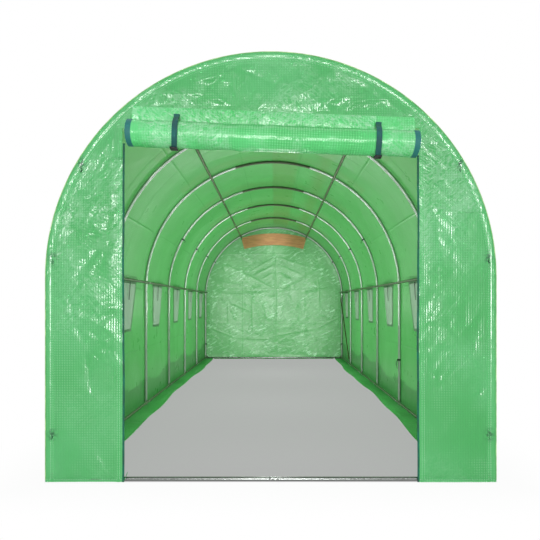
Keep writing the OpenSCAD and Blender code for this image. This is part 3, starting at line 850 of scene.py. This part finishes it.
def door_roll():
    """The curtain from its head down to the roll and on round a spiral whose radius falls evenly with the turn;
    creases stand out of the head and of the outer turn."""
    along = np.linspace(-roll_l / 2, roll_l / 2, 139)[:, None]
    outer, step, head_rows = roll_d / 2 - 0.001, (roll_d - roll_core_d) / 2 / roll_turns, 19
    back, up, turn, length = rolled(outer, step, roll_turns, roll_turns * 44 + 1, head_h, head_rows)
    out_back = np.concatenate([-np.ones(head_rows), np.cos(turn)])[None]
    out_up = np.concatenate([np.zeros(head_rows), -np.sin(turn)])[None]
    on_head = smooth((head_h - length) / 0.02)
    outer_turn = smooth((head_h + 2 * math.pi * outer - length) / 0.05)
    area = ((-roll_l / 2, roll_l / 2), (0.0, head_h + 2 * math.pi * outer))
    soft = creases(along, length, 41, 120, area, (0.06, 0.3), (0.008, 0.02), 0.0035, (0.0, 0.6))
    head_area = (area[0], (0.0, head_h * 0.6))
    gathers = creases(along, length, 42, 130, head_area, (0.03, 0.12), (0.006, 0.014), 0.010, (1.2, 0.7))
    slack = 0.016 * np.sin(np.pi * np.clip(length / (head_h - 0.045), 0, 1)) * (0.75 + 0.25 * np.sin(along * 9))
    sway = 0.0025 * np.sin(along * 4 + 2) * np.sin(length * 30)
    tabs = np.add(strap_places, strap_tab_shifts)
    pressed = np.exp(-(((along - tabs) / 0.03) ** 2)).max(axis=1, keepdims=True)
    stand = (np.abs(gathers) * (1 - pressed) + slack * (1 - 0.85 * pressed)) * on_head
    stand = stand + soft * outer_turn + sway * outer_turn
    stand += 0.0012 * smooth((np.abs(along) - roll_l / 2 + roll_tape_w) / 0.001)
    reach = along * (1 + 0.004 * np.sin(length * 21 + 1) * (1 - on_head))
    points = on_roll(reach, back + out_back * stand, up + out_up * stand)
    # The head is crumpled all over, with painted glints on it.
    made = piece(
        "door_curtain", (points, grid_faces(*points.shape[:2])), roll_film_painted_light, ["door_roll"],
        uv=stacked(along, length), marks={"crushed": on_head * (along < 0.48)},
    )


def door_straps():
    """Each strap runs down from its sewn tab, meets the roll where the line is tangent to it and follows the
    circle under the roll; a buckle closes it below."""
    round_r = roll_d / 2 + 0.0025
    tab_back = roll_d / 2 - 0.0045
    from_axis, lean = math.hypot(tab_back, strap_tab_h), math.atan2(tab_back, strap_tab_h)
    start_a = math.acos(round_r / from_axis) - lean
    turn = np.linspace(start_a, math.radians(262), 46)
    line = np.linspace(0, 1, 9, endpoint=False)
    tangent = (-round_r * math.sin(start_a), round_r * math.cos(start_a))
    back = np.concatenate([tab_back + (tangent[0] - tab_back) * line, -round_r * np.sin(turn)])
    up = np.concatenate([strap_tab_h + (tangent[1] - strap_tab_h) * line, round_r * np.cos(turn)])
    from_tab = run_length(back, up)
    to_front, to_foot = np.interp((np.pi / 2, np.pi), turn, from_tab[len(line):])
    above = np.clip(1 - from_tab / to_front, 0, 1)
    below = np.clip((from_tab - to_front) / (to_foot - to_front), 0, 1)
    under, loop_r = np.radians(np.linspace(160, 196, 7)), round_r + 0.003
    straps, buckles = [], []
    for place, tab_shift, foot_shift in zip(strap_places, strap_tab_shifts, strap_foot_shifts):
        path = on_roll(place + tab_shift * above**2 + foot_shift * below**2, back, up)
        straps.append(sweep(path, roll_along, tape_profile(strap_w, 0.0022)))
        straps.append(sweep(path[:3], roll_along, tape_profile(strap_w + 0.002, 0.0040)))
        path = on_roll(place + foot_shift, -loop_r * np.sin(under), loop_r * np.cos(under))
        buckles.append(sweep(path, roll_along, tape_profile(strap_w + 0.008, 0.007)))
    piece("roll_straps", joined(straps), teal_tape, ["door_roll_straps"], closed=True)
    piece("strap_buckles", joined(buckles), buckle_black, closed=True)


def jamb_bindings():
    """Tape folded round each jamb: a rounded loop with a stitched dip on its front, carried up behind the roll."""
    for side, name in SIDES:
        low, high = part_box(name + "_door_binding")
        width, deep = high.x - low.x, high.y - low.y
        turn = np.linspace(0, 2 * np.pi, 16, endpoint=False)
        profile = stacked(np.cos(turn) * width / 2, np.sin(turn) * deep / 2)
        profile *= (1 - 0.18 * np.exp(-((np.sin(turn) - 1) ** 2) / 0.02))[:, None]
        axis_z = roll_z - (side * door_x - roll_x) * math.tan(roll_tilt)
        z = np.linspace(0.001, axis_z - 0.26 * roll_d, 150)
        centre_x = (low.x + high.x) / 2 + 0.0012 * np.sin(z * 6 + side) + 0.0006 * np.sin(z * 17)
        shape = sweep(stacked(centre_x, (low.y + high.y) / 2, z), (1.0, 0.0, 0.0), profile)
        piece(name + "_jamb_tape", shape, jamb_tape, [name + "_door_binding"], closed=True)


door_roll()
door_straps()
jamb_bindings()


# Windows: nets, hems, rolled flaps and their ties

def window_edges(lap):
    """Corner places of a window in its bay as (place along, height), grown by a lap on every side."""
    far_lap = lap * math.hypot(window_slant, window_h) / window_h
    grow = window_slant * lap / window_h
    return np.array([
        (window_near - lap, window_top_z + lap), (window_near - lap, window_low_z - lap),
        (window_far_low + far_lap - grow, window_low_z - lap), (window_far_top + far_lap + grow, window_top_z + lap),
    ])


def wall_points(side, along, height, out):
    """Points on a wall of the cover at a height, moved outwards; the arch above the spring line is followed."""
    s = spring_z + np.where(height > spring_z, film_r * np.arcsin(np.clip((height - spring_z) / film_r, 0, 1)),
                            height - spring_z)
    return on_cover(s if side < 0 else arch_l - s, along, out)


def window_nets(side, name):
    """Each net is a grid between its four corners, just inside the wall."""
    shapes, flats = [], []
    near_top, near_low, far_low, far_top = window_edges(net_lap)
    down, across = np.meshgrid(np.linspace(0, 1, 22), np.linspace(0, 1, 24), indexing="ij")
    along = (near_top[0] * (1 - across) + far_top[0] * across) * (1 - down)
    along += (near_low[0] * (1 - across) + far_low[0] * across) * down
    height = near_top[1] + (near_low[1] - near_top[1]) * down
    net_in, net_slack = 0.0022, 0.004
    slack = net_slack * np.sin(np.pi * across) * np.sin(np.pi * down)
    for y in bay_middles:
        points = wall_points(side, y + along, height, -net_in - slack)
        shapes.append((points, grid_faces(*down.shape)))
        flats.append(stacked(y + along, height).reshape(-1, 2))
    made = piece(name + "_nets", joined(shapes), netting, [name + "_window_nets"],
                 uv=np.concatenate(flats))


def window_hems(side, name):
    """A flat frame sewn round each window on the wall's outer face, between the opening and the net's edge."""
    hem_w, hem_out, hem_crown = 0.009, 0.0014, 0.0006
    inner, outer = window_edges(-0.001), window_edges(hem_w)
    steps = np.linspace(0, 1, 12, endpoint=False)[:, None]
    edge = [[start + (end - start) * steps for start, end in zip(ring, np.roll(ring, -1, axis=0))]
            for ring in (inner, outer)]
    inner, outer = (np.concatenate(parts) for parts in edge)
    share = np.linspace(0, 1, 4)[:, None, None]
    ring = inner * (1 - share) + outer * share
    crown = hem_crown * np.sin(np.pi * share[..., 0])
    shapes, flats = [], []
    for y in bay_middles:
        points = wall_points(side, y + ring[..., 0], ring[..., 1], hem_out + crown)
        shapes.append((points, grid_faces(*ring.shape[:2], wrap=True)))
        flats.append((ring + (y, 0)).reshape(-1, 2))
    total = sum(len(flat) for flat in flats)
    piece(name + "_window_hems", joined(shapes), hem_film, uv=np.concatenate(flats),
          marks={"calm": np.ones(total)})


window_roll_d = 0.036
window_roll_l = 0.42
window_turns = 2.4
window_turn_step = 0.0052
window_head_h = 0.034


def window_rolls(side, name):
    """Each flap is rolled up over its window: a spiral that ends in a short head on the wall."""
    centre = middle(name + "_window_rolls")
    along = np.linspace(-window_roll_l / 2, window_roll_l / 2, 34)[:, None]
    back, up, _, length = rolled(window_roll_d / 2, window_turn_step, window_turns, 66, window_head_h, 5)
    outer_l = 0.12
    shapes, flats = [], []
    for k, y in enumerate(bay_middles):
        area = ((-window_roll_l / 2, window_roll_l / 2), (0.0, outer_l))
        waves = creases(along, length, 50 + k, 26, area, (0.05, 0.2), (0.006, 0.014), 0.003, (0.0, 0.5))
        pinch = 0.0045 * np.exp(-((along / 0.012) ** 2)) * np.ones_like(length)
        size = 1 - (pinch - waves * smooth((outer_l - length) / 0.02)) / (window_roll_d / 2)
        wobble = 0.003 * np.sin(along * 12 + k)
        x = side * (np.abs(centre[0]) - back * size + 0.001 * np.cos(up))
        points = stacked(x, y + along, centre[2] + up * size + wobble)
        shapes.append((points, grid_faces(*points.shape[:2])))
        flats.append(stacked(y + along, length).reshape(-1, 2))
    made = piece(name + "_rolled_flaps", joined(shapes), flap_film, [name + "_window_rolls"],
                 uv=np.concatenate(flats))


def window_ties(side, name):
    """A ribbon round the middle of each rolled flap, its ends hanging down over the net, and a ribbon sewn to the
    window's head that hangs inside, leaning to the front."""
    centre = middle(name + "_window_rolls")
    turn = np.linspace(0, 2 * np.pi, 22, endpoint=False)
    ring_r = window_roll_d / 2 - 0.002
    ring_tape, end_tape, ribbon = tape_profile(0.014, 0.0014), tape_profile(0.011, 0.0012), tape_profile(0.012, 0.0014)
    ends, ribbon_in = ((0.004, 0.118), (-0.005, 0.085)), 0.0105
    shapes = []
    for k, y in enumerate(bay_middles):
        ring = stacked(centre[0] + ring_r * np.cos(turn), y, centre[2] + ring_r * np.sin(turn))
        shapes.append(sweep(ring, tunnel_way, ring_tape, loop=True))
        for tail, reach in ends:
            fall = np.linspace(0, 1, 12)
            tail_y = y + tail + 0.006 * np.sin(fall * 3 + k) * fall
            tail_x = centre[0] - side * (0.002 + 0.011 * fall)
            path = stacked(tail_x, tail_y, centre[2] - ring_r - reach * fall)
            shapes.append(sweep(path, tunnel_way, end_tape))
        fall = np.linspace(0, 1, 10)
        path = wall_points(side, y - 0.010 - 0.034 * fall**1.4, window_top_z + 0.012 - 0.135 * fall, -ribbon_in)
        shapes.append(sweep(path, tunnel_way, ribbon))
    piece(name + "_window_ties", joined(shapes), dark_tape, closed=True)


for side, name in SIDES:
    window_nets(side, name)
    window_hems(side, name)
    window_rolls(side, name)
    window_ties(side, name)


# Ground flaps, laid on the ground inside the walls

def ground_flaps():
    """Each flap is a grid from the wall's foot to a wandering edge, nearly flat, its free edge lifted a little."""
    flap_z = 0.0012
    share = np.linspace(0, 1, 16)[:, None]
    for seed, (side, name) in zip((61, 62), SIDES):
        low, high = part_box(name + "_ground_flap")
        y = np.linspace(low.y, high.y, 401)[None]
        width = (high.x - low.x) * (1 + 0.10 * np.sin(y * 1.9 + seed) + 0.05 * np.sin(y * 5.3))
        width = width * (1 + 0.12 * smooth((-1.2 - y) / 1.5))
        x = wall_x - film_t - width * share
        loose = smooth((share - 0.45) / 0.3)
        area = ((0, high.x - low.x), (low.y, high.y))
        lift = np.abs(creases(width * share, y, seed, 110, area, (0.05, 0.3), (0.01, 0.03), 0.003)) * loose
        lift += 0.0015 * loose * (0.5 + 0.5 * np.sin(y * 11 + 4 * share))
        points = stacked(side * x, y, flap_z + lift)
        faces = grid_faces(*points.shape[:2])
        made = piece(name + "_flap", (points, faces if side > 0 else faces[:, ::-1]), ground_film,
                     [name + "_ground_flap"], uv=stacked(width * share, y))
    low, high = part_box("rear_ground_flap")
    x = np.linspace(low.x, high.x, 121)[:, None]
    width = (high.y - low.y) * (1 + 0.06 * np.sin(x * 7))
    share = share.T
    loose = smooth((share - 0.35) / 0.3)
    lift = np.abs(creases(x, width * share, 63, 40, ((low.x, high.x), (0, 0.1)), (0.05, 0.2), (0.01, 0.02), 0.005))
    points = stacked(x, high.y - width * share, flap_z + lift * loose)
    made = piece("rear_flap", (points, grid_faces(*points.shape[:2])[:, ::-1]), ground_film,
                 ["rear_ground_flap"], uv=stacked(x, width * share))


ground_flaps()


# Small fastenings

def hoop_ties():
    """Ribbons sewn to the cover and tied round each hoop: an arc round the tube's inner side with two hanging ends."""
    shapes = []
    arc = np.radians(np.linspace(-128, 128, 15))
    fall = np.linspace(0, 1, 8)
    low, _, high = tie_heights
    tie_rows = [tie_heights, (0.15,), (0.37,), (high,), (high,), (high,), (low, high)]
    right_only, long_ends = (1, 2), 2.0
    ring_tape, knot_tape = tape_profile(0.015, 0.0013), tape_profile(0.012, 0.007)
    end_tape, end_l, end_sway = tape_profile(0.011, 0.0012), (0.016, 0.036), (0.2, 0.9)
    ring_r = hoop_d / 2 + 0.0014
    draw = np.random.default_rng(71)
    for k, y in enumerate(hoop_y):
        for height in tie_rows[k]:
            for s in (arch_l - height,) if k in right_only else (height, arch_l - height):
                x, z, normal_x, normal_z = (float(value) for value in arch(np.array(s)))
                normal = np.array([normal_x, 0.0, normal_z])
                tube = np.array([x, y, z]) - normal * (film_r - hoop_r)
                ring = tube + ring_r * (np.sin(arc)[:, None] * (0, 1, 0) - np.cos(arc)[:, None] * normal)
                along = np.array([-normal_z, 0.0, normal_x])
                shapes.append(sweep(ring, along, ring_tape))
                knot = tube - normal * (ring_r + 0.003)
                bar = knot + np.linspace(-0.008, 0.008, 4)[:, None] * (0, 1, 0)
                shapes.append(sweep(bar, along, knot_tape))
                for turn in (-1, 1):
                    reach = draw.uniform(*end_l) * (long_ends if k in right_only else 1)
                    sway = draw.uniform(*end_sway) * turn
                    inward = np.array([-np.sign(x), 0.0, 0.0])
                    tail = knot + fall[:, None] * np.array([0, 0.020 * sway, -reach]) + turn * np.array([0, 0.005, 0])
                    tail = tail + (0.010 * np.sin(fall * 2.6))[:, None] * inward
                    shapes.append(sweep(tail, tunnel_way, end_tape))
    piece("hoop_ties", joined(shapes), dark_tape, closed=True)


def bolts():
    """Washer and domed head on the inner side of every tube crossing, and screws in the sill joint and brace."""
    head = [(0, 0), (0.0085, 0), (0.0088, 0.0012), (0.0062, 0.0014), (0.0060, 0.0036), (0.0036, 0.0052), (0, 0.0058)]
    screw_share, sunk, tab_in = 0.55, 0.0004, 0.010
    screw = [(radius * screw_share, height * screw_share) for radius, height in head]
    shapes = []
    for rail in ("side_rail", "roof_purlin", "ground_rail"):
        for _, name in SIDES:
            x, _, z = middle(f"{name}_{rail}")
            outward = np.array([x, 0.0, max(z - spring_z, 0.0)])
            outward /= np.linalg.norm(outward)
            for y in hoop_y:
                shapes.append(turned(head, np.array([x, y, z]) - outward * (rail_d / 2 - sunk), -outward))
    low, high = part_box("front_sill")
    for x in (-0.012, 0.012):
        foot = np.array([x + 0.02, low.y + 0.001, (low.z + high.z) / 2 + 0.004])
        shapes.append(turned(screw, foot, (0.0, -1.0, 0.35)))
    low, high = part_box("rear_corner_brace")
    for y, z in ((low.y + tab_in, low.z + tab_in), (high.y - tab_in, high.z - tab_in)):
        shapes.append(turned(screw, np.array([(low.x + high.x) / 2 - 0.0016, y, z]), (-1.0, 0.0, 0.0)))
    piece("bolt_heads", joined(shapes), zinc, closed=True)


def jamb_tie():
    """A short green ribbon at the foot of the left jamb, looped up from the sill."""
    share = np.linspace(0, 1, 14)
    foot = np.array([-door_x + 0.004, front_y - 0.001, 0.006])
    path = foot + stacked(0.020 * share, -0.004 * np.sin(np.pi * share), 0.040 * share**1.5)
    shape = sweep(path, tunnel_way, tape_profile(0.010, 0.0016))
    piece("jamb_tie", shape, green_tape, closed=True)


hoop_ties()
bolts()
jamb_tie()


# Finishes of the carried-over solids

tube_finishes = {"purlin": painted_shade_zinc, "sill": sill_zinc, "brace": painted_shade_zinc, "rail": painted_shade_rail_zinc}
finishes = {"galvanised_tube": zinc, "board_wood": board_wood, "binding_tape": green_tape}
for subpart in frame["record"]["subparts"]:
    solid = frame["nodes"][subpart["node"]]
    if not solid.hide_render:
        solid.data.materials.clear()
        part = subpart["node"].split("_")[-1]
        solid.data.materials.append(tube_finishes.get(part, finishes[subpart["material_slot"]]))


# The stage: floor, lights and camera

def stage():
    """A pale floor, white outside the tunnel's outline and grey within it, the grey a painted shade under the tunnel.
    """
    reach = 30.0
    corners = [(-reach, -reach, 0.0), (reach, -reach, 0.0), (reach, reach, 0.0), (-reach, reach, 0.0)]
    mesh = bpy.data.meshes.new("floor")
    mesh.from_pydata(corners, [], [(0, 1, 2, 3)])
    floor = bpy.data.objects.new("floor", mesh)
    bpy.context.scene.collection.objects.link(floor)
    finish = Finish("floor")
    x, y, _ = finish.split(finish.place())
    half_l, middle_y = (rear_y - front_y) / 2, (rear_y + front_y) / 2

    def outside(start, end):
        """A step from 0 to 1 between two distances past the tunnel's outline."""
        beside, beyond = abs(x).step(wall_x + start, wall_x + end), abs(y - middle_y).step(half_l + start, half_l + end)
        return beside.larger(beyond)

    far, clear = outside(0.0, 0.5), outside(-0.01, 0.0)
    plain = finish.node("BsdfDiffuse", None, {"Color": (0.9, 0.9, 0.9, 1.0)})
    # The glow is white outside the tunnel's outline and grey within it, a painted shade under the tunnel.
    pale = finish.node("Emission", None, {"Color": finish.mix(clear, srgb(178, 178, 178), white)})
    share = finish.seen() * (clear * 0.04 + far * 0.05 + 0.91)
    mesh.materials.append(finish.done(finish.node("MixShader", None, {0: share, 1: plain, 2: pale})))


def surround(level):
    """A white world for the camera, gloss and glass, and a softer one that lights the object."""
    finish = Finish("surround", bpy.data.worlds)
    strength = finish.node("MapRange", None, {"Value": finish.seen(), "To Min": level, "To Max": 1.0})
    sky = finish.node("Background", None, {"Color": white, "Strength": strength})
    bpy.context.scene.world = finish.done(sky, "OutputWorld")


def lamp(kind, name, place, power, target=None, **settings):
    """A lamp at place that faces target, with its kind's own settings; the camera doesn't see it."""
    light = bpy.data.lights.new(name, kind)
    light.energy = power
    for key, value in settings.items():
        setattr(light, key, value)
    made = bpy.data.objects.new(name, light)
    bpy.context.scene.collection.objects.link(made)
    made.location = place
    made.visible_camera = False
    if target is not None:
        gaze = np.subtract(target, place)
        made.rotation_euler = (math.acos(-gaze[2] / np.linalg.norm(gaze)), 0.0, math.atan2(-gaze[0], gaze[1]))


def camera():
    """A level camera in front of the doorway, with the lens shift of the photo's framing (540 by 540 pixels)."""
    frame_px, focal_px = 540, 565
    centre_px = (275.1, 304.2)
    distance, height, aside = 2.617, 0.8245, 0.02
    made = bpy.data.objects.new("camera", bpy.data.cameras.new("camera"))
    bpy.context.scene.collection.objects.link(made)
    made.location = (aside, front_y - distance, height)
    made.rotation_euler = (math.pi / 2, 0.0, 0.0)
    made.data.sensor_width = 36.0
    made.data.lens = made.data.sensor_width * focal_px / frame_px
    made.data.shift_x = -(centre_px[0] - frame_px / 2) / frame_px
    made.data.shift_y = (centre_px[1] - frame_px / 2) / frame_px
    bpy.context.scene.camera = made


white = (1.0, 1.0, 1.0, 1.0)
stage()
surround(0.32)
boxes = [
    ("front_box", (0.1, front_y - 15.0, 0.95), (0.0, front_y, 0.95), 1.8, 1.8, 1350),
    ("left_box", (-2.1, front_y - 4.0, 1.9), (-0.6, front_y, 1.1), 0.4, 0.5, 10),
    ("right_box", (2.1, front_y - 4.0, 1.9), (0.6, front_y, 1.1), 0.4, 0.5, 10),
    ("gable_box", (0.0, front_y - 4.0, 3.3), (0.0, front_y, 1.7), 0.5, 0.4, 9),
    ("left_side_box", (-3.6, 0.0, 1.2), (0.0, 0.0, 0.6), 6.0, 1.8, 60),
    ("right_side_box", (3.6, 0.0, 1.2), (0.0, 0.0, 0.6), 6.0, 1.8, 60),
    ("top_box", (0.0, 0.0, 5.5), (0.0, 0.0, 0.0), 3.0, 7.0, 78),
    ("rear_box", (0.0, rear_y + 5.0, 1.6), (0.0, rear_y, 1.0), 2.4, 1.8, 75),
]
for name, place, target, width, height, power in boxes:
    lamp("AREA", name, place, power, target, shape="RECTANGLE", size=width, size_y=height)
for k, (y, power) in enumerate(((-2.6, 6.6), (-0.8, 10.3), (1.2, 13.4))):
    lamp("POINT", f"inner_lamp_{k + 1}", (0.0, y, 0.85), power, shadow_soft_size=0.15)
board = middle("sign_board")
lamp("SPOT", "board_lamp", (0.0, board[1] - 1.1, board[2] - 0.1), 15, board,
     spot_size=math.radians(30), spot_blend=0.8, shadow_soft_size=0.1)
camera()
bpy.context.scene.view_settings.view_transform = "Standard"
